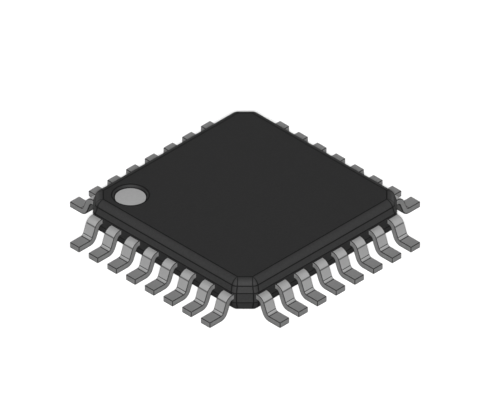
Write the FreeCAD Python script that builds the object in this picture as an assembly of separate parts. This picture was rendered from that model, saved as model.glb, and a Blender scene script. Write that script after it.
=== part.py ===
import FreeCAD, Part
import math
import os

os.makedirs("parts", exist_ok=True)

V = FreeCAD.Vector

# Frame: millimetres, origin at the centre of the seating plane under the
# leads, +Z up. Terminal 1 is at the (-X, +Y) corner and the count runs
# counter-clockwise seen from above: west, south, east, north.

# moulded body
BODY_SIDE = 7.0
BODY_TOP = 1.20
BODY_BOTTOM = 0.09
BAND_LOW = 0.45
BAND_HIGH = 0.79
DRAFT = 16.0
CORNER_LEG = 0.50
CORNER_ROUND = 0.24
TOP_ROUND = 0.26
BOTTOM_ROUND = 0.20

# recess and ink disc beside terminal 1, ejector mark on the underside
DIMPLE_EDGE = 1.05
DIMPLE_RIM = 1.09
DIMPLE_FLOOR = 1.00
DIMPLE_DEPTH = 0.10
INK_THICK = 0.015
EJECTOR_DIAMETER = 1.50
EJECTOR_DEPTH = 0.04

# leads: spacing along a side, least distance from an end lead to the body's
# corner, and reach beyond the body
PITCH = 0.80
END_MARGIN = 0.70
LEAD_REACH = 1.0
LEAD_WIDTH = 0.40
LEAD_THICK = 0.20
LEAD_TOP = 0.745
SHOULDER_BEND = 0.10
HEEL_BEND = 0.11
LEG_ANGLE = 68.0
FOOT_FLAT = 0.467

# inner fingers of the leads: depths are from the body's wall inwards
ROOT_DEPTH = 0.14
LOCK_DEPTH = 0.28
LOCK_LENGTH = 0.18
LOCK_TAPER = 0.06
LOCK_EAR = 0.07
NECK_WIDTH = 0.25
TIP_WIDTH = 0.20
TIP_GAP = 0.25
TIP_STEP_BACK = 0.034
FAN_RATIO = 0.60

# die paddle with its four tie bars, die attach, die
DIE_SIDE = 2.50
DIE_THICK = 0.25
ATTACH_LEDGE = 0.05
ATTACH_THICK = 0.025
PADDLE_LEDGE = 0.55
DOWNSET = 0.20
TIE_WIDTH = 0.16
TIE_STRAIGHT = 0.174
TIE_SLOPE_RUN = 0.24
TIE_COVER = 0.476

# bond wires
WIRE_DIAMETER = 0.030
BALL_DIAMETER = 0.075
BALL_HEIGHT = 0.020
BALL_EDGE_GAP = 0.10
PAD_RATIO = 0.34
LOOP_NECK = 0.13
LOOP_TOP = 0.17
LOOP_SHOULDER = 0.12
STITCH_IN = 0.14

# sizes that follow from the ones above
BODY_HALF = BODY_SIDE / 2.0
SPAN = BODY_SIDE + 2.0 * LEAD_REACH
LEADS_PER_SIDE = int((BODY_SIDE - 2.0 * END_MARGIN) / PITCH + 1e-6) + 1
DIMPLE_OFFSET = BODY_HALF - DIMPLE_EDGE
ROOT_X = BODY_HALF - ROOT_DEPTH
LOCK_OUT_X = BODY_HALF - LOCK_DEPTH
LOCK_IN_X = LOCK_OUT_X - LOCK_LENGTH
ATTACH_SIDE = DIE_SIDE + 2.0 * ATTACH_LEDGE
PADDLE_SIDE = DIE_SIDE + 2.0 * PADDLE_LEDGE
TIP_X = PADDLE_SIDE / 2.0 + TIP_GAP
TIE_SLOPE_START = PADDLE_SIDE / math.sqrt(2.0) + TIE_STRAIGHT
TIE_END = (BODY_SIDE - CORNER_LEG) / math.sqrt(2.0) - TIE_COVER
LEAD_BOTTOM = LEAD_TOP - LEAD_THICK
PADDLE_TOP = LEAD_TOP - DOWNSET
PADDLE_BOTTOM = PADDLE_TOP - LEAD_THICK
DIE_BOTTOM = PADDLE_TOP + ATTACH_THICK
DIE_TOP = DIE_BOTTOM + DIE_THICK
BALL_X = DIE_SIDE / 2.0 - BALL_EDGE_GAP

# each side in counting order: its name, and the turn about Z of the local
# frame in which +X points outward and +Y runs along the side
SIDES = [
    ("west", 180.0),
    ("south", 270.0),
    ("east", 0.0),
    ("north", 90.0),
]


def turned(shape, angle):
    """A copy of the shape turned about the vertical axis."""
    copy = shape.copy()
    copy.rotate(V(0, 0, 0), V(0, 0, 1), angle)
    return copy


def save(name, shape):
    """Write one sub-part as a STEP file and report its volume."""
    shape.exportStep("parts/" + name + ".step")
    print(name, len(shape.Solids), "solid(s)", round(shape.Volume, 5), "mm3")


def square_slab(side, low, thick):
    """A square slab centred on the vertical axis."""
    half = side / 2.0
    return Part.makeBox(side, side, thick, V(-half, -half, low))


def octagon(half, leg, level):
    """Closed square outline with cut corners at one height."""
    inner = half - leg
    corners = [
        (half, -inner), (half, inner), (inner, half), (-inner, half),
        (-half, inner), (-half, -inner), (-inner, -half), (inner, -half),
    ]
    points = [V(x, y, level) for x, y in corners]
    return Part.makePolygon(points + [points[0]])


def drafted_outline(drop, level):
    """Body outline where every wall has moved in by the draft over drop."""
    shift = drop * math.tan(math.radians(DRAFT))
    half = BODY_SIDE / 2.0 - shift
    diagonal = BODY_SIDE - CORNER_LEG - shift * math.sqrt(2.0)
    return octagon(half, 2.0 * half - diagonal, level)


def body_block():
    """Upper draft, upright middle band and lower draft as one solid."""
    middle_low = drafted_outline(0.0, BAND_LOW)
    middle_high = drafted_outline(0.0, BAND_HIGH)
    floor = drafted_outline(BAND_LOW - BODY_BOTTOM, BODY_BOTTOM)
    roof = drafted_outline(BODY_TOP - BAND_HIGH, BODY_TOP)
    lower = Part.makeLoft([floor, middle_low], True, True)
    middle = Part.makeLoft([middle_low, middle_high], True, True)
    upper = Part.makeLoft([middle_high, roof], True, True)
    return lower.fuse([middle, upper]).removeSplitter().Solids[0]


def edge_round(edge):
    """Rounding radius for one edge of the body block, or zero."""
    levels = [vertex.Z for vertex in edge.Vertexes]
    if abs(levels[0] - levels[1]) > 0.05:
        return CORNER_ROUND
    if abs(levels[0] - BODY_TOP) < 1e-6:
        return TOP_ROUND
    if abs(levels[0] - BODY_BOTTOM) < 1e-6:
        return BOTTOM_ROUND
    return 0.0


def rounded_body():
    """Body block with its upright, top and bottom edges rounded at once."""
    block = body_block()
    document = FreeCAD.newDocument("rounding")
    base = document.addObject("Part::Feature", "block")
    base.Shape = block
    rounding = document.addObject("Part::Fillet", "rounding")
    rounding.Base = base
    edges = []
    for number, edge in enumerate(block.Edges, 1):
        radius = edge_round(edge)
        if radius > 0.0:
            edges.append((number, radius, radius))
    rounding.Edges = edges
    document.recompute()
    return rounding.Shape.Solids[0]


def dimple():
    """Shallow conical recess beside terminal 1."""
    centre = V(-DIMPLE_OFFSET, DIMPLE_OFFSET, BODY_TOP - DIMPLE_DEPTH)
    slope = (DIMPLE_RIM - DIMPLE_FLOOR) / 2.0 / DIMPLE_DEPTH
    above = 0.05
    rim = DIMPLE_RIM / 2.0 + slope * above
    return Part.makeCone(DIMPLE_FLOOR / 2.0, rim, DIMPLE_DEPTH + above, centre)


def pin_one_mark():
    """Thin ink disc that fills the floor of the recess."""
    centre = V(-DIMPLE_OFFSET, DIMPLE_OFFSET, BODY_TOP - DIMPLE_DEPTH)
    return Part.makeCylinder(DIMPLE_FLOOR / 2.0, INK_THICK, centre)


def ejector_mark():
    """Round shallow recess left by the ejector on the underside."""
    start = V(0, 0, BODY_BOTTOM - 0.02)
    return Part.makeCylinder(EJECTOR_DIAMETER / 2.0, EJECTOR_DEPTH + 0.02, start)


def arc_edge(centre, radius, start, end):
    """Arc in the XZ plane between two angles in degrees."""
    def point(angle):
        turn = math.radians(angle)
        return centre + V(radius * math.cos(turn), 0, radius * math.sin(turn))
    middle = (start + end) / 2.0
    return Part.Arc(point(start), point(middle), point(end)).toShape()


def leg_run():
    """Horizontal run of both bends, taken at mid thickness, and the leg."""
    angle = math.radians(LEG_ANGLE)
    both = SHOULDER_BEND + HEEL_BEND + LEAD_THICK
    drop = LEAD_BOTTOM - both * (1.0 - math.cos(angle))
    leg = drop / math.sin(angle)
    return both * math.sin(angle) + leg * math.cos(angle)


def gull_wing():
    """Outer lead: stub, shoulder bend, leg, heel bend and flat foot."""
    tip = SPAN / 2.0
    heel_x = tip - FOOT_FLAT
    bend_x = heel_x - leg_run()
    shoulder_outer = SHOULDER_BEND + LEAD_THICK
    heel_outer = HEEL_BEND + LEAD_THICK
    fall = 90.0 - LEG_ANGLE
    shoulder = V(bend_x, 0, LEAD_TOP - shoulder_outer)
    heel = V(heel_x, 0, heel_outer)
    top = arc_edge(shoulder, shoulder_outer, 90.0, fall)
    under = arc_edge(shoulder, SHOULDER_BEND, 90.0, fall)
    inside = arc_edge(heel, HEEL_BEND, 180.0 + fall, 270.0)
    outside = arc_edge(heel, heel_outer, 180.0 + fall, 270.0)
    y = -LEAD_WIDTH / 2.0
    root_top = V(ROOT_X, 0, LEAD_TOP)
    root_low = V(ROOT_X, 0, LEAD_BOTTOM)
    tip_top = V(tip, 0, LEAD_THICK)
    tip_low = V(tip, 0, 0)
    edges = [
        Part.makeLine(root_top, top.Vertexes[0].Point),
        top,
        Part.makeLine(top.Vertexes[-1].Point, inside.Vertexes[0].Point),
        inside,
        Part.makeLine(inside.Vertexes[-1].Point, tip_top),
        Part.makeLine(tip_top, tip_low),
        Part.makeLine(tip_low, outside.Vertexes[-1].Point),
        outside,
        Part.makeLine(outside.Vertexes[0].Point, under.Vertexes[-1].Point),
        under,
        Part.makeLine(under.Vertexes[0].Point, root_low),
        Part.makeLine(root_low, root_top),
    ]
    wire = Part.Wire(Part.__sortEdges__(edges))
    wing = Part.Face(wire).extrude(V(0, LEAD_WIDTH, 0))
    wing.translate(V(0, y, 0))
    return wing


def lead_places():
    """Offsets of the leads along one side, in counting order."""
    middle = (LEADS_PER_SIDE - 1) / 2.0
    return [(index - middle) * PITCH for index in range(LEADS_PER_SIDE)]


def tip_place(offset):
    """Inner end of the finger for a lead: distance out and along."""
    steps = abs(offset) / PITCH - 0.5
    return TIP_X + TIP_STEP_BACK * steps * steps, offset * FAN_RATIO


def ears(offset):
    """Locking ears; the end leads have one only, away from the corner."""
    end = (LEADS_PER_SIDE - 1) / 2.0 * PITCH
    left = 0.0 if offset < -end + 1e-6 else LOCK_EAR
    right = 0.0 if offset > end - 1e-6 else LOCK_EAR
    return left, right


def finger(offset):
    """Flat inner finger that locks in the moulding and fans in."""
    half = LEAD_WIDTH / 2.0
    neck = NECK_WIDTH / 2.0
    tip = TIP_WIDTH / 2.0
    left, right = ears(offset)
    tip_x, tip_y = tip_place(offset)
    slope = (offset - tip_y) / (LOCK_OUT_X - tip_x)
    lock_y = offset - slope * (LOCK_OUT_X - LOCK_IN_X)
    neck_x = LOCK_IN_X - LOCK_TAPER
    neck_y = offset - slope * (LOCK_OUT_X - neck_x)
    outline = [
        (ROOT_X, offset - half),
        (ROOT_X, offset + half),
        (LOCK_OUT_X, offset + half + right),
        (LOCK_IN_X, lock_y + half * 0.9 + right),
        (neck_x, neck_y + neck),
        (tip_x, tip_y + tip),
        (tip_x, tip_y - tip),
        (neck_x, neck_y - neck),
        (LOCK_IN_X, lock_y - half * 0.9 - left),
        (LOCK_OUT_X, offset - half - left),
    ]
    points = [V(x, y, LEAD_BOTTOM) for x, y in outline]
    face = Part.Face(Part.makePolygon(points + [points[0]]))
    return face.extrude(V(0, 0, LEAD_THICK))


def lead(offset):
    """One lead in the local frame of its side."""
    wing = gull_wing()
    wing.translate(V(0, offset, 0))
    return wing.fuse(finger(offset)).removeSplitter().Solids[0]


def tie_bar():
    """One diagonal bar, bent up from the paddle to the lead plane."""
    slope_end = TIE_SLOPE_START + TIE_SLOPE_RUN
    start = PADDLE_SIDE / 2.0
    bend = LEAD_THICK * 0.3
    outline = [
        (start, PADDLE_BOTTOM), (TIE_SLOPE_START + bend, PADDLE_BOTTOM),
        (slope_end + bend, LEAD_BOTTOM), (TIE_END, LEAD_BOTTOM),
        (TIE_END, LEAD_TOP), (slope_end, LEAD_TOP),
        (TIE_SLOPE_START, PADDLE_TOP), (start, PADDLE_TOP),
    ]
    points = [V(x, -TIE_WIDTH / 2.0, z) for x, z in outline]
    face = Part.Face(Part.makePolygon(points + [points[0]]))
    return turned(face.extrude(V(0, TIE_WIDTH, 0)), 45.0)


def die_paddle():
    """Paddle and four tie bars, one piece of lead frame."""
    slab = square_slab(PADDLE_SIDE, PADDLE_BOTTOM, LEAD_THICK)
    bar = tie_bar()
    bars = [turned(bar, 90.0 * step) for step in range(4)]
    return slab.fuse(bars).removeSplitter().Solids[0]


def wire_points(offset):
    """Corner points of one bond wire, from the die up and out."""
    tip_x, tip_y = tip_place(offset)
    pad = V(BALL_X, offset * PAD_RATIO, DIE_TOP)
    slope = (offset - tip_y) / (LOCK_OUT_X - tip_x)
    end = V(tip_x + STITCH_IN, tip_y + STITCH_IN * slope, LEAD_TOP)
    flat = V(end.x - pad.x, end.y - pad.y, 0)
    flat.normalize()
    neck = pad + V(0, 0, LOOP_NECK)
    crest = pad + flat * LOOP_SHOULDER + V(0, 0, LOOP_TOP)
    beyond = end + (end - crest) * 0.12
    return [pad, neck, crest, beyond]


def bond_wire(offset):
    """Round wire with a ball on the die and a slanting cut on the finger."""
    points = wire_points(offset)
    path = Part.makePolygon(points)
    ring = Part.makeCircle(WIRE_DIAMETER / 2.0, points[0], V(0, 0, 1))
    loop = path.makePipeShell([Part.Wire(ring)], True, False, 1)
    low = V(BALL_X + LOOP_SHOULDER, -BODY_HALF, LEAD_TOP - LEAD_THICK)
    below = Part.makeBox(BODY_HALF, BODY_SIDE, LEAD_THICK, low)
    loop = loop.cut(below).Solids[0]
    ball = Part.makeCylinder(BALL_DIAMETER / 2.0, BALL_HEIGHT, points[0])
    return loop.fuse(ball).removeSplitter().Solids[0]


def main():
    """Build every sub-part and save it."""
    leads = []
    wires = []
    for name, angle in SIDES:
        group = []
        for offset in lead_places():
            number = len(leads) + 1
            leads.append(("lead_%02d" % number, turned(lead(offset), angle)))
            group.append(turned(bond_wire(offset), angle))
        wires.append(("bond_wires_" + name, group))
    paddle = die_paddle()
    attach = square_slab(ATTACH_SIDE, PADDLE_TOP, ATTACH_THICK)
    chip = square_slab(DIE_SIDE, DIE_BOTTOM, DIE_THICK)
    inside = [shape for label, shape in leads] + [paddle, attach, chip]
    for label, group in wires:
        inside = inside + group
    body = rounded_body().cut([dimple(), ejector_mark()])
    body = body.cut(inside).Solids[0]
    save("moulded_body", body)
    save("pin_one_mark", pin_one_mark())
    save("die_paddle", paddle)
    save("die_attach", attach)
    save("die", chip)
    for label, group in wires:
        save(label, Part.makeCompound(group))
    for label, shape in leads:
        save(label, shape)


main()
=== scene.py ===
"""Looks of a quad flat pack chip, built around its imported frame.

Every new surface is a grid of two parameters worked out as whole arrays.
Lengths are in metres, in the same frame as the solids: origin at the centre
of the seating plane, +Z up, terminal 1 at the (-X, +Y) corner.
"""

import math

import bpy
import numpy as np
from bpy.props import FloatProperty, FloatVectorProperty, IntProperty, PointerProperty
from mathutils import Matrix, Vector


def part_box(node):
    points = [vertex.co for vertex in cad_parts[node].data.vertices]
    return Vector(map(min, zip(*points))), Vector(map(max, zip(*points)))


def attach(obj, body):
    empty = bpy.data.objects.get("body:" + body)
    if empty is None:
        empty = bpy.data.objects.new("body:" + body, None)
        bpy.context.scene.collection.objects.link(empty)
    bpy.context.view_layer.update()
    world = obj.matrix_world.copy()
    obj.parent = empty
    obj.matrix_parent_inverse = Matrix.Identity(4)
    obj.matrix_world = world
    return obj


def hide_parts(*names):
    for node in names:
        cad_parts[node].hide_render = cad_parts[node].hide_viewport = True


bl_info = {
    "name": "Quad Flat Pack Chip",
    "version": (1, 0, 0),
    "blender": (4, 5, 0),
    "location": "3D View > Sidebar > Chip",
    "description": "Moulded body, gull-wing leads and corner mark of a flat pack chip",
    "category": "Object",
}

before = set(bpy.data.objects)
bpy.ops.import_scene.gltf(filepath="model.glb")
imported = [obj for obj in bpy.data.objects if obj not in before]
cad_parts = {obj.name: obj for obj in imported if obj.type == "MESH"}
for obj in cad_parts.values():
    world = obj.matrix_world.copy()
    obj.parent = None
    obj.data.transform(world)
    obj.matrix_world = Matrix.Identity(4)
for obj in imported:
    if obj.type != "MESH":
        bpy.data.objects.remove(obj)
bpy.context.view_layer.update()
MM = 0.001
MICRON = 0.000001
BODY_LOW, BODY_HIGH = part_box("moulded_body")
FOOT_LOW, FOOT_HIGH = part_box("lead_04")
MARK_LOW, MARK_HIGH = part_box("pin_one_mark")
LEAD_NODES = sorted(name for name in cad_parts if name.startswith("lead_"))
WIRE_NODES = sorted(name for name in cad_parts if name.startswith("bond_wires_"))

# Steps of the rounded bends, in the order in which the grids meet them.
# RUN_STEPS holds the steps along a clipped corner and along a side.
ARC_STEPS = 7
RUN_STEPS = [6, 48]
WALL_STEPS = [14, 3, 3, 12]
RECESS_STEPS = [3, 4]
EJECTOR_STEPS = [3, 3]
DISC_STEPS = [2, 4, 2]
DISC_AROUND = 96
BEND_STEPS = 12
EDGE_STEPS = 3

# Lengths from a bend's end to the point that keeps the flat beside it flat
FLAT_GUARD = 0.008 * MM
BEND_GUARD = 0.004 * MM
END_GUARD = 0.014 * MM
DISC_GUARD = 0.002 * MM

# Tiny radii of the body's sharp edges and at the foot of the recess's wall
BODY_EDGE = 0.012 * MM
RECESS_FOOT = 0.030 * MM

# Width of the painted shade line outside the recess's rim, in half widths of a shade line
RIM_LINE = 2.4

# Flats beyond the last bend of a profile, and radii of the grids' inmost circles
FACE_FLAT = 0.05 * MM
RIM_FLAT = 0.07 * MM
RECESS_MIDDLE = 0.12 * MM
EJECTOR_MIDDLE = 0.20 * MM
DISC_MIDDLE = 0.10 * MM

# The ink disc: its radius as a share of the solid's, the share of it that is
# flat, the drop of its rim, and the radii of its bends from the top down
DISC_SHARE = 0.945
DISC_FLAT = 0.6
DISC_DROP = 0.002 * MM
DISC_ROUNDS = [0.05 * MM, 0.005 * MM, 0.002 * MM]

# Share of a punched edge's radius that is left where the foot's end rounds off
END_EDGE = 0.3

# Two lengths nearer than this are the same
SAME = 0.0001 * MM

# Dark lines across a lead, from the foot to the body: marks of the bending tool
# at the bend lines, and painted shade where the lead leaves the body. How far
# each lies past its line and its half width, in millimetres, and its share of colour left
MARK_SHIFTS = [0.024, -0.014, 0.017, -0.012]
MARK_WIDTHS = [0.037, 0.025, 0.020, 0.024]
MARK_SHARES = [0.10, 0.10, 0.35, 0.05]

# Length in millimetres over which the plate turns from its own tone to a lighter copy, painted
# light
LIT_PLATE_FADE = 0.2

# Middle part of a noise pattern, which the finishes stretch over their ranges
NOISE_LOW, NOISE_HIGH = 0.3, 0.7

# Roughness of the finishes, from the lowest to the highest where it is clouded
COMPOUND_ROUGH = (0.74, 0.76)
PLATE_ROUGH = (0.74, 0.80)
SHEARED_ROUGH = (0.60, 0.68)
EDGE_ROUGH = 0.7
INK_ROUGH = 0.6
FLOOR_ROUGH = 0.9

# Index of the compound, how metallic the edges look, sheen of the ink and the floor
COMPOUND_IOR = 1.25
EDGE_METAL = 0.4
INK_SHEEN = 0.3
FLOOR_SHEEN = 0.1

# Metres from the middle to the floor's edges, the lamps and the camera, and the
# camera's range
FLOOR_REACH = 0.6
LAMP_DISTANCE = 0.2
CAMERA_DISTANCE = 0.4
CAMERA_NEAR, CAMERA_FAR = 0.001, 2.0


def length(name, description, default, low=0.0, high=0.02):
    """A length property in metres."""
    return FloatProperty(
        name=name,
        description=description,
        default=default,
        min=low,
        max=high,
        precision=6,
        subtype="DISTANCE",
        unit="LENGTH",
    )


def angle(name, description, degrees):
    """An angle property, given in degrees."""
    return FloatProperty(
        name=name,
        description=description,
        default=math.radians(degrees),
        subtype="ANGLE",
        unit="ROTATION",
    )


def colour(name, description, default):
    """A colour property."""
    return FloatVectorProperty(
        name=name,
        description=description,
        default=default,
        min=0.0,
        max=1.0,
        size=3,
        subtype="COLOR",
    )


def share(name, description, default, high=1.0):
    """A plain number property from nought up."""
    return FloatProperty(
        name=name, description=description, default=default, min=0.0, max=high
    )


class BodySizes(bpy.types.PropertyGroup):
    """Sizes of the moulded body's skin."""

    side: length("Side", "Width of the body at its upright band", BODY_HIGH.x - BODY_LOW.x)
    top: length("Top", "Height of the top face", BODY_HIGH.z)
    bottom: length("Bottom", "Height of the underside", BODY_LOW.z)
    band_low: length("Band low", "Lower edge of the upright band", 0.45 * MM)
    band_high: length("Band high", "Upper edge of the upright band", 0.79 * MM)
    draft: angle("Draft", "Slope of the walls above and below the band", 16.0)
    corner_leg: length("Corner leg", "Length cut off each side at a corner", 0.50 * MM)
    corner_round: length("Corner rounding", "Radius of the upright edges", 0.24 * MM)
    top_round: length("Top rounding", "Radius round the top face", 0.26 * MM)
    bottom_round: length("Bottom rounding", "Radius round the underside", 0.20 * MM)
    edge_soft: length("Edge softness", "Tiny radius of the band's edges", 0.014 * MM)
    # The dark lines along the mould's edges are painted shade; this is their half width.
    shade_line: length("Tool line", "Half width of the dark lines on the mould's edges", 0.016 * MM)
    dimple_rim: length("Recess rim", "Radius of the recess at its rim", 0.545 * MM)
    dimple_floor: length("Recess floor", "Radius of the recess at its floor", 0.50 * MM)
    dimple_depth: length("Recess depth", "Depth of the recess", 0.10 * MM)
    ejector: length("Ejector mark", "Radius of the round mark underneath", 0.75 * MM)
    ejector_depth: length("Ejector depth", "Depth of the round mark", 0.04 * MM)


class LeadSizes(bpy.types.PropertyGroup):
    """Sizes of one gull-wing lead and its inner finger."""

    per_side: IntProperty(name="Leads per side", description="Leads on one side", default=8, min=2)
    pitch: length("Pitch", "Spacing of the leads along a side", 0.80 * MM)
    width: length("Width", "Width of a lead", 0.40 * MM)
    thick: length("Thickness", "Thickness of a lead", 0.20 * MM)
    top: length("Top", "Height of the lead where it leaves the body", FOOT_HIGH.z)
    tip: length("Tip", "Distance of the tips from the centre", -FOOT_LOW.x)
    foot: length("Foot", "Flat length of the foot", 0.467 * MM)
    leg_angle: angle("Leg angle", "Slope of the leg down from level", 68.0)
    shoulder_bend: length("Shoulder bend", "Inner radius of the upper bend", 0.10 * MM)
    heel_bend: length("Heel bend", "Inner radius of the lower bend", 0.11 * MM)
    edge_soft: length("Edge softness", "Radius of the punched edges", 0.022 * MM)
    torn_edge: length("Torn edge", "Height of the dark torn edge low on the sides", 0.018 * MM)
    lock_depth: length("Lock depth", "From the body's side in to the locking ears", 0.28 * MM)
    lock_length: length("Lock length", "Length of the locking ears", 0.18 * MM)
    lock_taper: length("Lock taper", "Length in which the ears run out", 0.06 * MM)
    lock_ear: length("Lock ear", "How far an ear stands out sideways", 0.07 * MM)
    lock_narrow: share("Lock narrowing", "Share of the width left behind the ears", 0.9)
    neck_width: length("Neck width", "Width of the inner finger behind the ears", 0.25 * MM)
    tip_width: length("Tip width", "Width of the inner finger's bond tip", 0.20 * MM)
    tip_place: length("Tip place", "Distance of the nearest bond tip from the centre", 2.05 * MM)
    tip_step: length("Tip step", "How much further out the next tips are", 0.034 * MM)
    fan: share("Fan", "Share of a lead's offset that is left at its bond tip", 0.60)


class Finishes(bpy.types.PropertyGroup):
    """Colours and sheen of the finishes."""

    # The walls' compound, and a darker copy of it for the flat top and the side bands, which is
    # painted shade.
    compound: colour("Compound", "Moulding compound of the walls", (0.0165, 0.0165, 0.0167))
    compound_painted_shade: colour("Compound flat", "Flat top and upright band", (0.0115, 0.0115, 0.0117))
    # Near black for the lines along the body's edges and in its recess, with less sheen: painted
    # shade.
    shade_line: colour("Tool line", "Dark lines along the mould's edges", (0.0046, 0.0046, 0.0047))
    compound_gloss: share("Compound gloss", "Strength of the compound's faint sheen", 0.65)
    shade_line_gloss: share("Line gloss", "Strength of the sheen in the tool lines", 0.26)
    plate: colour("Plate", "Matte tin plate", (0.295, 0.295, 0.295))
    # A lighter copy of the plate for the heel, the leg and the shoulder: painted light.
    lit_plate: colour("Wiped plate", "Plate that the bending tool slid over", (0.387, 0.387, 0.387))
    # A darker copy of the plate for the leads' undersides: painted shade.
    under: colour("Plate underneath", "Duller plate on the undersides", (0.16, 0.16, 0.16))
    sheared: colour("Sheared side", "Punched sides of the leads", (0.495, 0.495, 0.495))
    cut: colour("Cut end", "Cut ends of the leads", (0.495, 0.495, 0.495))
    # Near black for the leads' rounded and torn edges: painted shade that dims their highlights.
    edge: colour("Edge", "Rolled and torn edges of the leads", (0.022, 0.022, 0.022))
    ink: colour("Ink", "Ink of the corner mark", (0.225, 0.225, 0.225))
    copper: colour("Copper", "Bare lead frame", (0.80, 0.47, 0.33))
    gold: colour("Gold", "Bond wires", (0.90, 0.66, 0.28))
    silicon: colour("Silicon", "Die", (0.16, 0.17, 0.21))
    silver_glue: colour("Die attach", "Silver-filled glue", (0.60, 0.60, 0.62))
    floor: colour("Floor", "Pale floor", (0.70, 0.70, 0.70))


class StageSettings(bpy.types.PropertyGroup):
    """Camera and light."""

    azimuth: angle("Azimuth", "Turn of the view, nought looks along +Y", -45.0)
    elevation: angle("Elevation", "Height of the view above level", 35.26439)
    view_width: length("View width", "Width that the view covers", 14.4586 * MM, high=1.0)
    aim_right: length("Aim right", "Aim right of the origin", -0.182 * MM, -0.01)
    aim_up: length("Aim up", "Aim above the origin", 0.672 * MM, -0.01)
    key: share("Key light", "Strength of the light near the camera", 8.0, 50.0)
    back: share("Back lights", "Strength of the low lights on the two far sides", 2.2, 50.0)
    fill: share("Fill", "Strength of the light from all round", 0.05, 10.0)
    key_soft: angle("Key softness", "Width of the key light in the sky", 5.0)
    back_soft: angle("Back softness", "Width of the low lights in the sky", 20.0)
    back_height: angle("Back height", "Height of the low lights above level", 3.0)
    back_turn: angle("Back turn", "Turn of the low lights away from the view", 135.0)


# Shapes


def rounded_path(corners, radii, steps, guards):
    """Points of a flat path whose inner corners are rounded.

    At each corner an arc of the given radius touches both runs: its middle
    lies radius over the sine of half the corner angle away from the corner
    along the bisector, and its points turn evenly from one run's normal to
    the other's. A point a guard's length off each end of the arc keeps the
    shading of the flat runs flat. guards gives that length before and after
    each corner.
    """
    corners = np.asarray(corners, float)
    points = [corners[0]]
    for i in range(1, len(corners) - 1):
        here, radius, count = corners[i], radii[i - 1], steps[i - 1]
        before, after = guards[i - 1]
        back = corners[i - 1] - here
        ahead = corners[i + 1] - here
        back = back / np.linalg.norm(back)
        ahead = ahead / np.linalg.norm(ahead)
        half = math.acos(float(np.clip(back @ ahead, -1.0, 1.0))) / 2.0
        reach = radius / math.tan(half)
        middle = here + (back + ahead) / np.linalg.norm(back + ahead) * radius / math.sin(half)
        start = here + back * reach - middle
        end = here + ahead * reach - middle
        turn = math.pi - 2.0 * half
        t = np.linspace(0.0, 1.0, count + 1)[:, None]
        arc = (np.sin((1.0 - t) * turn) * start + np.sin(t * turn) * end) / math.sin(turn)
        points.append(here + back * (reach + before))
        points.extend(middle + arc)
        points.append(here + ahead * (reach + after))
    points.append(corners[-1])
    return np.array(points)


def rounded_octagon(half, across, radius, guard):
    """Outlines of a square with cut, rounded corners, one row per size.

    Each wall lies half away from the centre and each cut corner across away.
    The arc between two walls has its middle a radius inside both, and its
    points turn from one wall's normal to the next one's, with a point a
    guard's length before and after it. Straight runs join the arcs. half,
    across and radius are arrays; the result is rows by columns by two,
    counter-clockwise, starting where the +X wall ends at its +Y corner.
    """
    long = half - radius
    short = (across - radius) * math.sqrt(2.0) - long
    swing = np.linspace(0.0, math.pi / 4.0, ARC_STEPS + 1)
    arcs = []
    for corner in range(8):
        turn = math.pi / 2.0 * (corner // 2)
        way = swing + math.pi / 4.0 * corner
        cx, cy = (long, short) if corner % 2 == 0 else (short, long)
        mx = cx * math.cos(turn) - cy * math.sin(turn)
        my = cx * math.sin(turn) + cy * math.cos(turn)
        x = mx[:, None] + radius[:, None] * np.cos(way)
        y = my[:, None] + radius[:, None] * np.sin(way)
        arc = np.stack([x, y], -1)
        before = guard * np.array([math.sin(way[0]), -math.cos(way[0])])
        after = guard * np.array([-math.sin(way[-1]), math.cos(way[-1])])
        arcs.append(np.concatenate([arc[:, :1] + before, arc, arc[:, -1:] + after], axis=1))
    runs = []
    for corner in range(8):
        after = arcs[(corner + 1) % 8][:, :1]
        last = arcs[corner][:, -1:]
        steps = RUN_STEPS[corner % 2]
        t = np.linspace(0.0, 1.0, steps + 1)[1:-1][None, :, None]
        runs += [arcs[corner], last + (after - last) * t]
    return np.concatenate(runs, axis=1)


def closed_grid(name, points, start, end, uv=None, finish_index=None):
    """Mesh of a grid that closes round its columns, with a pole at each end.

    points is rows by columns by three. Neighbouring rows and columns share a
    four-sided face, and a fan of triangles joins the first and last rows to
    the start and end points, so the surface is closed.
    """
    rows, cols = points.shape[:2]
    verts = np.concatenate([points.reshape(-1, 3), [start], [end]])
    i, j = np.meshgrid(np.arange(rows - 1), np.arange(cols), indexing="ij")
    k = (j + 1) % cols
    quads = np.stack([i * cols + j, (i + 1) * cols + j, (i + 1) * cols + k, i * cols + k], -1)
    quads = quads.reshape(-1, 4)
    j = np.arange(cols)
    k = (j + 1) % cols
    first = np.stack([np.full(cols, rows * cols), j, k], -1)
    base = (rows - 1) * cols
    last = np.stack([base + j, np.full(cols, rows * cols + 1), base + k], -1)
    mesh = bpy.data.meshes.new(name)
    mesh.from_pydata(verts.tolist(), [], quads.tolist() + first.tolist() + last.tolist())
    mesh.polygons.foreach_set("use_smooth", np.ones(len(mesh.polygons), bool))
    if uv is not None:
        put_uv(mesh, uv, rows, cols)
    if finish_index is not None:
        mesh.polygons.foreach_set("material_index", finish_index)
    mesh.update()
    piece = bpy.data.objects.new(name, mesh)
    bpy.context.scene.collection.objects.link(piece)
    return piece


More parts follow.
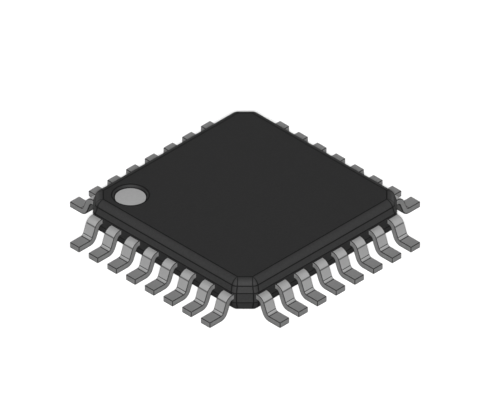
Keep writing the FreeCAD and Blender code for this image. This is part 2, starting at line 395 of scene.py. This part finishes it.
def put_uv(mesh, uv, rows, cols):
    """UV map from a rows by (cols + 1) grid, so the closing column doesn't fold back."""
    i, j = np.meshgrid(np.arange(rows - 1), np.arange(cols), indexing="ij")
    corners = [(i, j), (i + 1, j), (i + 1, j + 1), (i, j + 1)]
    quads = np.stack([uv[a, b] for a, b in corners], 2).reshape(-1, 2)
    j = np.arange(cols)
    top = np.zeros(cols, int)
    low = np.full(cols, rows - 1)
    first = np.stack([uv[top, j], uv[top, j], uv[top, j + 1]], 1).reshape(-1, 2)
    last = np.stack([uv[low, j], uv[low, j], uv[low, j + 1]], 1).reshape(-1, 2)
    layer = mesh.uv_layers.new(name="along_and_round")
    layer.data.foreach_set("uv", np.concatenate([quads, first, last]).ravel())


def dress(piece, finishes, nodes):
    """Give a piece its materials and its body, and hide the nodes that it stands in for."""
    for finish in finishes:
        piece.data.materials.append(finish)
    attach(piece, "root")
    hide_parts(*nodes)


def body_wall(sizes):
    """Upright profile of the body from the top face to the underside.

    Returns inset from the band, height and upright-edge radius for each row.
    The inset is nought on the band and grows with the tangent of the draft
    above and below it. The upright edges keep their radius on the walls and
    lose what the top and bottom roundings move in.
    """
    slope = math.tan(sizes.draft)
    up = (sizes.top - sizes.band_high) * slope
    down = (sizes.band_low - sizes.bottom) * slope
    half_turn = math.radians(45.0) - sizes.draft / 2.0
    top_in = sizes.top_round * math.tan(half_turn)
    low_in = sizes.bottom_round * math.tan(half_turn)
    middle = (sizes.band_low + sizes.band_high) / 2.0
    corners = [
        (up + top_in + FACE_FLAT, sizes.top),
        (up, sizes.top),
        (0.0, sizes.band_high),
        (0.0, sizes.band_low),
        (down, sizes.bottom),
        (down + low_in + FACE_FLAT, sizes.bottom),
    ]
    radii = [sizes.top_round, sizes.edge_soft, sizes.edge_soft, sizes.bottom_round]
    guards = [(sizes.shade_line, sizes.shade_line)] * 4
    path = rounded_path(corners, radii, WALL_STEPS, guards)
    inset, height = path[:, 0], path[:, 1]
    top_start = up - top_in * math.sin(sizes.draft)
    low_start = down - low_in * math.sin(sizes.draft)
    eaten = np.where(height > middle, inset - top_start, inset - low_start)
    radius = np.maximum(sizes.corner_round - np.maximum(eaten, 0.0), BODY_EDGE)
    return inset, height, radius


def body_grid(sizes):
    """Rows of the whole body skin, from the recess's floor to the underside's middle.

    The first rows are circles round the recess's centre, the next are cut
    square outlines that follow the wall's profile, the last are circles round
    the body's centre. A circle's points lie in the directions in which the
    next outline's points are seen from its centre, so straight faces join the
    two across the flat top and underside.
    """
    inset, height, radius = body_wall(sizes)
    half = sizes.side / 2.0 - inset
    across = (sizes.side - sizes.corner_leg) / math.sqrt(2.0) - inset
    outline = rounded_octagon(half, across, radius, sizes.shade_line)
    levels = np.broadcast_to(height[:, None, None], outline.shape[:2] + (1,))
    walls = np.concatenate([outline, levels], -1)
    centre = np.array([(MARK_LOW.x + MARK_HIGH.x) / 2.0, (MARK_LOW.y + MARK_HIGH.y) / 2.0])
    floor = sizes.top - sizes.dimple_depth
    recess = rounded_path(
        [
            (RECESS_MIDDLE, floor),
            (sizes.dimple_floor, floor),
            (sizes.dimple_rim, sizes.top),
            (sizes.dimple_rim + RIM_FLAT, sizes.top),
        ],
        [RECESS_FOOT, BODY_EDGE],
        RECESS_STEPS,
        [(FLAT_GUARD, sizes.shade_line / 2.0), (FLAT_GUARD, RIM_LINE * sizes.shade_line)],
    )
    mark = rounded_path(
        [
            (sizes.ejector + FACE_FLAT, sizes.bottom),
            (sizes.ejector, sizes.bottom),
            (sizes.ejector - BODY_EDGE, sizes.bottom + sizes.ejector_depth),
            (EJECTOR_MIDDLE, sizes.bottom + sizes.ejector_depth),
        ],
        [BODY_EDGE, BODY_EDGE],
        EJECTOR_STEPS,
        [(FLAT_GUARD, FLAT_GUARD)] * 2,
    )
    upper = circles(recess, centre, outline[0])
    under = circles(mark, np.zeros(2), outline[-1])
    start = (centre[0], centre[1], floor)
    end = (0.0, 0.0, sizes.bottom + sizes.ejector_depth)
    return np.concatenate([upper, walls, under]), start, end


def body_finishes():
    """Finish of each face of the body: 0 walls, 1 flat top and band in a darker copy
    of the compound that is painted shade, 2 lines of painted shade along the edges and in the
    recess.

    Goes strip by strip as the grid's rows do: each bend of a profile has a
    guard strip, one strip for each of its steps and another guard strip.
    Round the body each rounded corner has the same, and painted shade lines run down both
    its sides. The fans at the two poles come last.
    """
    low, rim = RECESS_STEPS
    # 2 marks painted shade lines: in the recess, outside its rim and along the wall's edges.
    recess = [2] * (low + 3) + [1, 1] + [2] * (rim + 1) + [1, 1]
    top, upper, lower, under = WALL_STEPS
    wall = [2, 2] + [0] * (top - 2) + [2, 2, 0] + [2] * (upper + 2)
    band = len(wall)
    wall += [0] + [2] * (lower + 2) + [0] * (under + 3)
    rest = [0] * (sum(EJECTOR_STEPS) + 2 * len(EJECTOR_STEPS) + 5)
    upright = []
    long_run = []
    for corner in range(8):
        run = RUN_STEPS[corner % 2]
        upright += [2, 2] + [0] * (ARC_STEPS - 2) + [2, 2] + [0] * run
        long_run += [0] * (ARC_STEPS + 2) + [corner % 2] * run
    walls = np.maximum(np.array(wall)[:, None], np.array(upright))
    # The band's runs along the four sides take the darker copy, painted shade; the clipped corners
    # keep the walls' compound.
    walls[band] = np.maximum(walls[band], long_run)
    cols = len(upright)
    above = np.repeat(recess + [1], cols)
    return np.concatenate([above, walls.ravel(), np.repeat(rest + [2, 0], cols)])


def circles(profile, centre, outline):
    """Rows of circles, one per (radius, height), with points towards an outline's."""
    way = outline - centre
    way = way / np.linalg.norm(way, axis=1, keepdims=True)
    flat = centre + profile[:, 0][:, None, None] * way
    levels = np.broadcast_to(profile[:, 1][:, None, None], flat.shape[:2] + (1,))
    return np.concatenate([flat, levels], -1)


def leg_length(sizes):
    """Length of the straight leg, from the drop that the two bends leave to it."""
    bends = sizes.shoulder_bend + sizes.heel_bend + sizes.thick
    left = sizes.top - sizes.thick - bends * (1.0 - math.cos(sizes.leg_angle))
    return left / math.sin(sizes.leg_angle)


def lead_bends(sizes):
    """Millimetres along the lead from the foot's end to each bend line and to the body."""
    heel = (sizes.heel_bend + sizes.thick / 2.0) * sizes.leg_angle
    shoulder = (sizes.shoulder_bend + sizes.thick / 2.0) * sizes.leg_angle
    stub = lead_line(sizes)[1, 0] - BODY_HIGH.x
    return np.cumsum([sizes.foot, heel, leg_length(sizes), shoulder + stub]) / MM


def lead_line(sizes):
    """Middle line of a lead from just before its shoulder to its foot, seen from the side.

    Arc of the shoulder, straight leg, arc of the heel and straight foot, up to
    a quarter of the foot before its end. On an arc the direction turns evenly,
    and a point is the arc's middle plus the radius times the direction's
    normal. Returns distance out, height, and the direction's tilt below level.
    """
    half = sizes.thick / 2.0
    tilt = sizes.leg_angle
    upper, lower = sizes.shoulder_bend + half, sizes.heel_bend + half
    run = (upper + lower) * math.sin(tilt) + leg_length(sizes) * math.cos(tilt)
    heel = sizes.tip - sizes.foot
    bend = heel - run
    level = sizes.top - half
    t = np.linspace(0.0, tilt, BEND_STEPS + 1)
    shoulder = np.stack([bend + upper * np.sin(t), level - upper * (1 - np.cos(t)), t], -1)
    back = t[::-1]
    heel_arc = np.stack([heel - lower * np.sin(back), half + lower * (1 - np.cos(back)), back], -1)
    ahead = np.array([math.cos(tilt), -math.sin(tilt), 0.0]) * BEND_GUARD
    foot = np.array([heel + BEND_GUARD, sizes.tip - sizes.foot / 4.0])
    foot = np.stack([foot, np.full(2, half), np.zeros(2)], -1)
    near = np.array([[bend - BEND_GUARD, level, 0.0]])
    leg_ends = np.array([shoulder[-1] + ahead, heel_arc[0] - ahead])
    return np.concatenate([near, shoulder, leg_ends, heel_arc, foot])


def finger_outline(offset, sizes):
    """Place, left edge and right edge of the inner finger at its stations.

    The finger runs in a straight line from its bond tip to the locking ears,
    and on to an eighth of its thickness inside the body's side. Tips move out
    with the square of their place from the middle. An end lead has no ear on
    its outer side.
    """
    wall = BODY_HIGH.x
    half = sizes.width / 2.0
    steps = abs(offset) / sizes.pitch - 0.5
    tip_x, tip_y = sizes.tip_place + sizes.tip_step * steps * steps, offset * sizes.fan
    lock_out = wall - sizes.lock_depth
    lock_in = lock_out - sizes.lock_length
    neck_x = lock_in - sizes.lock_taper
    slope = (offset - tip_y) / (lock_out - tip_x)
    lock_y = offset - slope * (lock_out - lock_in)
    neck_y = offset - slope * (lock_out - neck_x)
    last = sizes.pitch * (sizes.per_side - 1) / 2.0
    left = 0.0 if offset < -last + SAME else sizes.lock_ear
    right = 0.0 if offset > last - SAME else sizes.lock_ear
    tip, neck, lock = sizes.tip_width / 2.0, sizes.neck_width / 2.0, half * sizes.lock_narrow
    return np.array(
        [
            (tip_x, tip_y - tip, tip_y + tip),
            (neck_x, neck_y - neck, neck_y + neck),
            (lock_in, lock_y - lock - left, lock_y + lock + right),
            (lock_out, offset - half - left, offset + half + right),
            (wall - sizes.lock_depth / 2.0, offset - half, offset + half),
            (wall - sizes.thick / 8.0, offset - half, offset + half),
        ]
    )


def lead_stations(offset, sizes):
    """Stations along a lead: place out, height, tilt, left edge, right edge, shrink.

    They are the inner finger's, the bent middle line's, and at the foot's end
    a quarter turn whose shrink is the edge radius times one less the cosine.
    """
    inner = finger_outline(offset, sizes)
    level = sizes.top - sizes.thick / 2.0
    blank = np.zeros(len(inner))
    inner = np.stack([inner[:, 0], blank + level, blank, inner[:, 1], inner[:, 2], blank], -1)
    line = lead_line(sizes)
    left, right = offset - sizes.width / 2.0, offset + sizes.width / 2.0
    blank = np.zeros(len(line))
    outer = np.column_stack([line, blank + left, blank + right, blank])
    soft = sizes.edge_soft
    t = np.linspace(0.0, math.pi / 2.0, EDGE_STEPS + 1)
    blank = np.zeros(len(t))
    place = sizes.tip - soft + soft * np.sin(t)
    shrink = soft * (1.0 - np.cos(t))
    height = blank + sizes.thick / 2.0
    end = np.column_stack([place, height, blank, blank + left, blank + right, shrink])
    guard = end[[0, -1]]
    guard[0, 0] -= END_GUARD
    guard[1, 5] += END_GUARD
    return np.concatenate([inner, outer, guard[:1], end, guard[1:]])


def lead_section(sizes):
    """Rounded four-sided section: side sign, up sign, arc direction, guard direction.

    Each corner is an arc whose direction turns a quarter, from the left side
    over the top to the right side and back underneath. The last two columns
    say which way and how many guard lengths a guard point on a flat lies from
    the arc's end, to keep the flat's shading flat. Low on the two sides it
    lies as far as the torn edge is high.
    """
    rows = []
    signs = [(-1, 1), (1, 1), (1, -1), (-1, -1)]
    torn = sizes.torn_edge / FLAT_GUARD
    reach = [(1.0, 1.0), (1.0, torn), (1.0, 1.0), (torn, 1.0)]
    for corner in range(4):
        t = math.pi * (1.0 - corner / 2.0) - np.linspace(0.0, math.pi / 2.0, EDGE_STEPS + 1)
        rows += [(*signs[corner], math.cos(a), math.sin(a), 0.0, 0.0) for a in t]
        normal = (math.cos(t[-1]), math.sin(t[-1]))
        ahead = (normal[1], -normal[0])
        first, last = reach[corner]
        rows.append((*signs[corner], *normal, first * ahead[0], first * ahead[1]))
        rows.append((*signs[(corner + 1) % 4], *normal, -last * ahead[0], -last * ahead[1]))
    return np.array(rows)


def lead_grid(offset, sizes, turn):
    """Rows of one lead: the rounded section carried along the middle line.

    A point is the station's middle, plus the section's sideways part along Y
    and its upright part along the line's normal, then turned to its side.
    """
    x, z, tilt, left, right, shrink = lead_stations(offset, sizes).T[:, :, None]
    side, up, arc_y, arc_n, off_y, off_n = lead_section(sizes).T[:, None, :]
    corner = np.maximum(sizes.edge_soft - shrink, END_EDGE * sizes.edge_soft)
    half_y = (right - left) / 2.0 - shrink - corner
    half_n = sizes.thick / 2.0 - shrink - corner
    sideways = (left + right) / 2.0 + side * half_y + arc_y * corner + off_y * FLAT_GUARD
    upward = up * half_n + arc_n * corner + off_n * FLAT_GUARD
    px = x + upward * np.sin(tilt)
    pz = z + upward * np.cos(tilt)
    spin = np.array([[math.cos(turn), -math.sin(turn)], [math.sin(turn), math.cos(turn)]])
    flat = np.stack([px, sideways], -1) @ spin.T
    return np.concatenate([flat, pz[..., None]], -1)


def lead_map(points):
    """UV grid in millimetres: length from the foot's end, distance round the section."""
    closed = np.concatenate([points, points[:, :1]], axis=1)
    along = np.linalg.norm(np.diff(closed.mean(axis=1), axis=0), axis=1)
    along = along.sum() - np.concatenate([[0.0], np.cumsum(along)])
    round_it = np.linalg.norm(np.diff(closed, axis=1), axis=2)
    round_it = np.concatenate([np.zeros((len(points), 1)), np.cumsum(round_it, axis=1)], axis=1)
    along = np.broadcast_to(along[:, None], round_it.shape)
    return np.stack([along, round_it], -1) / MM


def lead_finishes(rows, cols):
    """Finish of each face: 0 plated top, 1 punched sides, 2 edges in painted shade,
    3 cut ends, 4 underside in a darker copy of the plate, painted shade.

    The lowest strip of each side and of the foot's end is torn, and takes the
    edges' near-black painted shade.
    """
    edge = [2] * EDGE_STEPS
    column = np.array(edge + [0] * 3 + edge + [1, 1, 2] + edge + [4] * 3 + edge + [2, 1, 1])
    walls = np.broadcast_to(column, (rows - 1, cols)).copy()
    walls[-EDGE_STEPS - 1 : -1] = 2
    walls[-1] = np.where(column == 4, 2, 3)
    return np.concatenate([walls.ravel(), np.full(2 * cols, 3)])


# Finishes


def new_finish(name):
    """Empty material with its shader; returns material, nodes, links and shader."""
    finish = bpy.data.materials.new(name)
    finish.use_nodes = True
    tree = finish.node_tree
    tree.nodes.clear()
    out = tree.nodes.new("ShaderNodeOutputMaterial")
    shader = tree.nodes.new("ShaderNodeBsdfPrincipled")
    tree.links.new(shader.outputs["BSDF"], out.inputs["Surface"])
    return finish, tree.nodes, tree.links, shader


def millimetres(nodes, links, source="Object", stretch=(1.0, 1.0, 1.0)):
    """Pattern coordinates in millimetres, from the object or its own map."""
    place = nodes.new("ShaderNodeTexCoord")
    scale = nodes.new("ShaderNodeMapping")
    grow = 1000.0 if source == "Object" else 1.0
    scale.inputs["Scale"].default_value = [grow * s for s in stretch]
    links.new(place.outputs[source], scale.inputs["Vector"])
    return scale.outputs["Vector"]


def grain(nodes, links, where, scale, detail=2.0, roughness=0.5):
    """Noise pattern, a number from nought to one."""
    noise = nodes.new("ShaderNodeTexNoise")
    noise.inputs["Scale"].default_value = scale
    noise.inputs["Detail"].default_value = detail
    noise.inputs["Roughness"].default_value = roughness
    links.new(where, noise.inputs["Vector"])
    return noise.outputs[0]


def spread(nodes, links, value, low, high, to_low, to_high):
    """Map a number's range to another one."""
    node = nodes.new("ShaderNodeMapRange")
    node.inputs["From Min"].default_value = low
    node.inputs["From Max"].default_value = high
    node.inputs["To Min"].default_value = to_low
    node.inputs["To Max"].default_value = to_high
    links.new(value, node.inputs["Value"])
    return node.outputs["Result"]


def stretched(nodes, links, pattern, low=0.0, high=1.0):
    """The middle part of a noise pattern, stretched over a range."""
    return spread(nodes, links, pattern, NOISE_LOW, NOISE_HIGH, low, high)


def mixed(nodes, links, value, first, second):
    """Colour between two, by a number; each is a colour or another node's colour."""
    node = nodes.new("ShaderNodeMix")
    node.data_type = "RGBA"
    links.new(value, node.inputs["Factor"])
    ends = [socket for socket in node.inputs if socket.type == "RGBA"]
    for socket, tint in zip(ends, (first, second)):
        if isinstance(tint, bpy.types.NodeSocket):
            links.new(tint, socket)
        else:
            socket.default_value = (*tint, 1.0)
    return next(socket for socket in node.outputs if socket.type == "RGBA")


def tinted(nodes, links, shader, pattern, least, tint):
    """Base colour that a pattern carries from its least share of a tint to all of it."""
    dark = [least * c for c in tint]
    links.new(mixed(nodes, links, pattern, dark, tint), shader.inputs["Base Color"])


def dulled(nodes, links, share_kept, tone):
    """A colour darkened to a share of itself: black where the share is nought."""
    return mixed(nodes, links, share_kept, (0.0, 0.0, 0.0), tone)


def compute(nodes, links, operation, value, number):
    """One step of arithmetic on a number."""
    node = nodes.new("ShaderNodeMath")
    node.operation = operation
    node.inputs[1].default_value = number
    links.new(value, node.inputs[0])
    return node.outputs[0]


def relief(nodes, links, shader, layers):
    """Fine relief: (height pattern, depth in microns) layers, chained into the normal."""
    normal = None
    for height, depth in layers:
        bump = nodes.new("ShaderNodeBump")
        bump.inputs["Strength"].default_value = 1.0
        bump.inputs["Distance"].default_value = depth * MICRON
        links.new(height, bump.inputs["Height"])
        if normal is not None:
            links.new(normal, bump.inputs["Normal"])
        normal = bump.outputs["Normal"]
    links.new(normal, shader.inputs["Normal"])


def compound_finish(name, tint, gloss):
    """Charcoal moulding compound: eroded mould texture with pale filler flecks.

    gloss is the strength of its faint sheen.
    """
    finish, nodes, links, shader = new_finish(name)
    where = millimetres(nodes, links)
    fleck = grain(nodes, links, where, scale=16.0, detail=3.0)
    fleck = spread(nodes, links, fleck, 0.35, 0.75, 0.0, 1.0)
    tinted(nodes, links, shader, fleck, 0.8, tint)
    cloud = grain(nodes, links, where, scale=1.3)
    links.new(stretched(nodes, links, cloud, *COMPOUND_ROUGH), shader.inputs["Roughness"])
    shader.inputs["IOR"].default_value = COMPOUND_IOR
    shader.inputs["Specular IOR Level"].default_value = gloss
    coarse = grain(nodes, links, where, scale=14.0, detail=3.0, roughness=0.6)
    fine = grain(nodes, links, where, scale=45.0, detail=1.0)
    relief(nodes, links, shader, [(coarse, 3.0), (fine, 1.0)])
    return finish


def plate_finish(name, plate, lit_plate, bends):
    """Matte tin plate: fine crystals, faint rolling lines, marks of the bending tool and painted
    shade where the lead leaves the body.

    bends are the distances in millimetres from the foot's end to the lines
    where the lead's bends begin or end, and to where it leaves the body. Behind
    the first one the plate turns to a lighter copy, painted light, and each has a
    thin dark line across the lead: a tool mark at a bend line, painted shade
    where the lead leaves the body.
    """
    finish, nodes, links, shader = new_finish(name)
    where = millimetres(nodes, links, "UV")
    crystals = grain(nodes, links, where, scale=40.0)
    rolled = grain(nodes, links, millimetres(nodes, links, "UV", (2.0, 40.0, 1.0)), scale=1.0)
    split = nodes.new("ShaderNodeSeparateXYZ")
    links.new(where, split.inputs["Vector"])
    along = split.outputs["X"]
    # Painted light: behind the foot the plate turns to its lighter copy.
    slid = spread(nodes, links, along, bends[0], bends[0] + LIT_PLATE_FADE, 0.0, 1.0)
    tone = mixed(nodes, links, slid, plate, lit_plate)
    lines = stretched(nodes, links, rolled, low=0.94)
    tone = dulled(nodes, links, lines, tone)
    # Tool marks at the bend lines; the last line is painted shade at the body.
    for place, shift, width, left in zip(bends, MARK_SHIFTS, MARK_WIDTHS, MARK_SHARES):
        off = compute(nodes, links, "SUBTRACT", along, place + shift)
        off = compute(nodes, links, "ABSOLUTE", off, 0.0)
        kept = spread(nodes, links, off, width / 2.0, width, left, 1.0)
        tone = dulled(nodes, links, kept, tone)
    links.new(tone, shader.inputs["Base Color"])
    shader.inputs["Metallic"].default_value = 1.0
    links.new(stretched(nodes, links, crystals, *PLATE_ROUGH), shader.inputs["Roughness"])
    relief(nodes, links, shader, [(crystals, 0.8), (rolled, 0.6)])
    return finish


def sheared_finish(name, tint):
    """Punched side of a lead: fine score lines through the thickness, duller plate."""
    finish, nodes, links, shader = new_finish(name)
    where = millimetres(nodes, links, "UV")
    score = grain(nodes, links, millimetres(nodes, links, "UV", (55.0, 4.0, 1.0)), scale=1.0)
    blotch = grain(nodes, links, where, scale=9.0)
    tinted(nodes, links, shader, stretched(nodes, links, score), 0.86, tint)
    shader.inputs["Metallic"].default_value = 1.0
    links.new(stretched(nodes, links, blotch, *SHEARED_ROUGH), shader.inputs["Roughness"])
    relief(nodes, links, shader, [(score, 1.2), (blotch, 1.0)])
    return finish


def edge_shade_finish(look):
    """Rolled and torn edges of a lead: rougher thin plate, darkened to near black, which is painted
    shade.
    """
    finish, nodes, links, shader = new_finish("tin_plate_edge_shaded")
    where = millimetres(nodes, links, "UV")
    wear = grain(nodes, links, where, scale=12.0, detail=3.0)
    tinted(nodes, links, shader, stretched(nodes, links, wear), 0.7, look.edge)
    shader.inputs["Metallic"].default_value = EDGE_METAL
    shader.inputs["Roughness"].default_value = EDGE_ROUGH
    relief(nodes, links, shader, [(wear, 0.8)])
    return finish


def ink_finish(look):
    """Light grey ink: flat and slightly mottled."""
    finish, nodes, links, shader = new_finish("marking_ink_grey")
    where = millimetres(nodes, links)
    mottle = grain(nodes, links, where, scale=9.0, detail=3.0)
    tinted(nodes, links, shader, stretched(nodes, links, mottle), 0.94, look.ink)
    shader.inputs["Roughness"].default_value = INK_ROUGH
    shader.inputs["Specular IOR Level"].default_value = INK_SHEEN
    relief(nodes, links, shader, [(grain(nodes, links, where, scale=28.0), 1.0)])
    return finish


def inner_finish(name, tint, metallic, roughness, scale):
    """Finish of a sealed inner piece: its colour clouded a little by fine grain."""
    finish, nodes, links, shader = new_finish(name)
    where = millimetres(nodes, links)
    cloud = grain(nodes, links, where, scale, detail=3.0)
    tinted(nodes, links, shader, stretched(nodes, links, cloud), 0.85, tint)
    shader.inputs["Metallic"].default_value = metallic
    shader.inputs["Roughness"].default_value = roughness
    relief(nodes, links, shader, [(cloud, 1.0)])
    return finish


def floor_finish(look):
    """Pale matte floor, hardly visibly clouded."""
    finish, nodes, links, shader = new_finish("floor_pale")
    where = millimetres(nodes, links)
    cloud = grain(nodes, links, where, scale=0.05)
    tinted(nodes, links, shader, cloud, 0.99, look.floor)
    shader.inputs["Roughness"].default_value = FLOOR_ROUGH
    shader.inputs["Specular IOR Level"].default_value = FLOOR_SHEEN
    return finish


# Pieces


class CHIP_OT_body(bpy.types.Operator):
    """Build the moulded body's skin"""

    bl_idname = "chip.body"
    bl_label = "Moulded body"

    def execute(self, context):
        sizes = context.scene.chip_body
        look = context.scene.chip_finishes
        points, start, end = body_grid(sizes)
        piece = closed_grid("body_skin", points, start, end, None, body_finishes())
        finishes = [
            compound_finish("mould_compound_walls", look.compound, look.compound_gloss),
            # The flat top and the side bands: the darker copy, painted shade.
            compound_finish("mould_compound_flat", look.compound_painted_shade, look.compound_gloss),
            # Lines along the edges and in the recess: painted shade.
            compound_finish("mould_compound_shade_lines", look.shade_line, look.shade_line_gloss),
        ]
        dress(piece, finishes, ["moulded_body"])
        return {"FINISHED"}


class CHIP_OT_leads(bpy.types.Operator):
    """Build every lead, with its inner finger"""

    bl_idname = "chip.leads"
    bl_label = "Leads"

    def execute(self, context):
        sizes = context.scene.chip_leads
        look = context.scene.chip_finishes
        finishes = [
            plate_finish("tin_plate_matte", look.plate, look.lit_plate, lead_bends(sizes)),
            sheared_finish("tin_plate_sheared", look.sheared),
            edge_shade_finish(look),
            sheared_finish("lead_cut_end", look.cut),
            # The undersides: the darker copy of the plate, painted shade.
            plate_finish("tin_plate_under_shaded", look.under, look.under, lead_bends(sizes)),
        ]
        middle = (sizes.per_side - 1) / 2.0
        for number, node in enumerate(LEAD_NODES):
            side, place = divmod(number, sizes.per_side)
            offset = (place - middle) * sizes.pitch
            points = lead_grid(offset, sizes, math.pi + side * math.pi / 2.0)
            rows, cols = points.shape[:2]
            start, end = points[0].mean(axis=0), points[-1].mean(axis=0)
            uv = lead_map(points)
            name = node.replace("lead_", "gull_wing_")
            piece = closed_grid(name, points, start, end, uv, lead_finishes(rows, cols))
            dress(piece, finishes, [node])
        return {"FINISHED"}


class CHIP_OT_mark(bpy.types.Operator):
    """Build the ink disc in the recess"""

    bl_idname = "chip.mark"
    bl_label = "Corner mark"

    def execute(self, context):
        low, high = MARK_LOW, MARK_HIGH
        radius = DISC_SHARE * (high.x - low.x) / 2.0
        centre = np.array([(low.x + high.x) / 2.0, (low.y + high.y) / 2.0])
        profile = rounded_path(
            [
                (DISC_MIDDLE, high.z),
                (radius * DISC_FLAT, high.z),
                (radius, high.z - DISC_DROP),
                (radius, low.z),
                (DISC_MIDDLE, low.z),
            ],
            DISC_ROUNDS,
            DISC_STEPS,
            [(DISC_GUARD, DISC_GUARD)] * len(DISC_STEPS),
        )
        turn = np.linspace(0.0, 2.0 * math.pi, DISC_AROUND, endpoint=False)
        outline = centre + np.stack([np.cos(turn), np.sin(turn)], -1)
        points = circles(profile, centre, outline)
        start, end = (*centre, high.z), (*centre, low.z)
        piece = closed_grid("ink_disc", points, start, end)
        dress(piece, [ink_finish(context.scene.chip_finishes)], ["pin_one_mark"])
        return {"FINISHED"}


class CHIP_OT_inside(bpy.types.Operator):
    """Give the sealed inner pieces their finishes"""

    bl_idname = "chip.inside"
    bl_label = "Inner pieces"

    def execute(self, context):
        look = context.scene.chip_finishes
        copper = inner_finish("copper_rolled", look.copper, metallic=1.0, roughness=0.35, scale=6.0)
        gold = inner_finish("gold_drawn", look.gold, metallic=1.0, roughness=0.25, scale=30.0)
        silicon = inner_finish(
            "silicon_polished", look.silicon, metallic=0.4, roughness=0.15, scale=3.0
        )
        glue = inner_finish(
            "glue_silver_filled", look.silver_glue, metallic=0.6, roughness=0.45, scale=25.0
        )
        given = {"die_paddle": copper, "die": silicon, "die_attach": glue}
        given.update({name: gold for name in WIRE_NODES})
        for name, finish in given.items():
            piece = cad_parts[name]
            if not piece.material_slots:
                raise RuntimeError("no material slot on " + name)
            for place in piece.material_slots:
                place.material = finish
        return {"FINISHED"}


class CHIP_OT_stage(bpy.types.Operator):
    """Build the floor, the light and the camera"""

    bl_idname = "chip.stage"
    bl_label = "Stage"

    def execute(self, context):
        scene = context.scene
        settings = scene.chip_stage
        pale_floor(scene)
        azimuth, low = settings.azimuth, settings.back_height
        soft_sun("key_light", azimuth, settings.elevation, settings.key, settings.key_soft)
        for name, turn in (("far_left", -settings.back_turn), ("far_right", settings.back_turn)):
            soft_sun(name + "_light", azimuth + turn, low, settings.back, settings.back_soft)
        surround(scene, settings.fill)
        view_from(scene, settings)
        return {"FINISHED"}


def pale_floor(scene):
    """Large level square under the feet, which throws no light back on the chip."""
    mesh = bpy.data.meshes.new("floor")
    signs = [(-1.0, -1.0), (1.0, -1.0), (1.0, 1.0), (-1.0, 1.0)]
    corners = [(x * FLOOR_REACH, y * FLOOR_REACH, 0.0) for x, y in signs]
    mesh.from_pydata(corners, [], [(0, 1, 2, 3)])
    mesh.materials.append(floor_finish(scene.chip_finishes))
    floor = bpy.data.objects.new("floor", mesh)
    floor.visible_diffuse = False
    floor.visible_glossy = False
    scene.collection.objects.link(floor)


def direction(azimuth, elevation):
    """Unit arrow from the object towards a place at this azimuth and elevation."""
    level = math.cos(elevation)
    return np.array([math.sin(azimuth) * level, -math.cos(azimuth) * level, math.sin(elevation)])


def turned_to(azimuth, elevation):
    """Euler angles of a camera or sun that looks back from that place."""
    return (math.pi / 2.0 - elevation, 0.0, azimuth)


def soft_sun(name, azimuth, elevation, strength, width):
    """Broad even light from one side."""
    light = bpy.data.lights.new(name, "SUN")
    light.energy = strength
    light.angle = width
    lamp = bpy.data.objects.new(name, light)
    lamp.rotation_euler = turned_to(azimuth, elevation)
    lamp.location = direction(azimuth, elevation) * LAMP_DISTANCE
    bpy.context.scene.collection.objects.link(lamp)


def surround(scene, strength):
    """Even pale light from all round, which is itself seen as white."""
    world = bpy.data.worlds.new("soft_room")
    world.use_nodes = True
    tree = world.node_tree
    back = tree.nodes["Background"]
    back.inputs["Color"].default_value = (1.0, 1.0, 1.0, 1.0)
    seen = tree.nodes.new("ShaderNodeLightPath").outputs["Is Camera Ray"]
    power = spread(tree.nodes, tree.links, seen, 0.0, 1.0, strength, 1.0)
    tree.links.new(power, back.inputs["Strength"])
    scene.world = world


def view_from(scene, settings):
    """Parallel camera at the picture's angle, aimed by its right and up arrows."""
    azimuth, elevation = settings.azimuth, settings.elevation
    back = direction(azimuth, elevation)
    right = np.array([math.cos(azimuth), math.sin(azimuth), 0.0])
    up = np.cross(back, right)
    data = bpy.data.cameras.new("camera")
    data.type = "ORTHO"
    data.ortho_scale = settings.view_width
    data.clip_start, data.clip_end = CAMERA_NEAR, CAMERA_FAR
    camera = bpy.data.objects.new("camera", data)
    camera.rotation_euler = turned_to(azimuth, elevation)
    aim = right * settings.aim_right + up * settings.aim_up
    camera.location = aim + back * CAMERA_DISTANCE
    scene.collection.objects.link(camera)
    scene.camera = camera
    scene.view_settings.view_transform = "Standard"
    scene.view_settings.look = "None"


class CHIP_PT_panel(bpy.types.Panel):
    """Sizes, finishes and build buttons in the sidebar"""

    bl_label = "Chip"
    bl_idname = "CHIP_PT_panel"
    bl_space_type = "VIEW_3D"
    bl_region_type = "UI"
    bl_category = "Chip"

    def draw(self, context):
        scene = context.scene
        for title, group in (
            ("Body", scene.chip_body),
            ("Leads", scene.chip_leads),
            ("Finishes", scene.chip_finishes),
            ("Stage", scene.chip_stage),
        ):
            box = self.layout.box()
            box.label(text=title)
            for key in group.bl_rna.properties.keys():
                if key not in {"rna_type", "name"}:
                    box.prop(group, key)
        for operator in STEPS:
            self.layout.operator(operator.bl_idname)


GROUPS = {
    "chip_body": BodySizes,
    "chip_leads": LeadSizes,
    "chip_finishes": Finishes,
    "chip_stage": StageSettings,
}
STEPS = (CHIP_OT_body, CHIP_OT_leads, CHIP_OT_mark, CHIP_OT_inside, CHIP_OT_stage)


def register():
    """Add the classes and the scene's property groups."""
    for cls in (*GROUPS.values(), *STEPS, CHIP_PT_panel):
        bpy.utils.register_class(cls)
    for name, cls in GROUPS.items():
        setattr(bpy.types.Scene, name, PointerProperty(type=cls))


def unregister():
    """Take them out again."""
    for name in GROUPS:
        delattr(bpy.types.Scene, name)
    for cls in reversed((*GROUPS.values(), *STEPS, CHIP_PT_panel)):
        bpy.utils.unregister_class(cls)


def main():
    """Build everything in order."""
    register()
    bpy.ops.chip.body()
    bpy.ops.chip.leads()
    bpy.ops.chip.mark()
    bpy.ops.chip.inside()
    bpy.ops.chip.stage()
    bpy.context.view_layer.update()


if __name__ == "__main__":
    main()
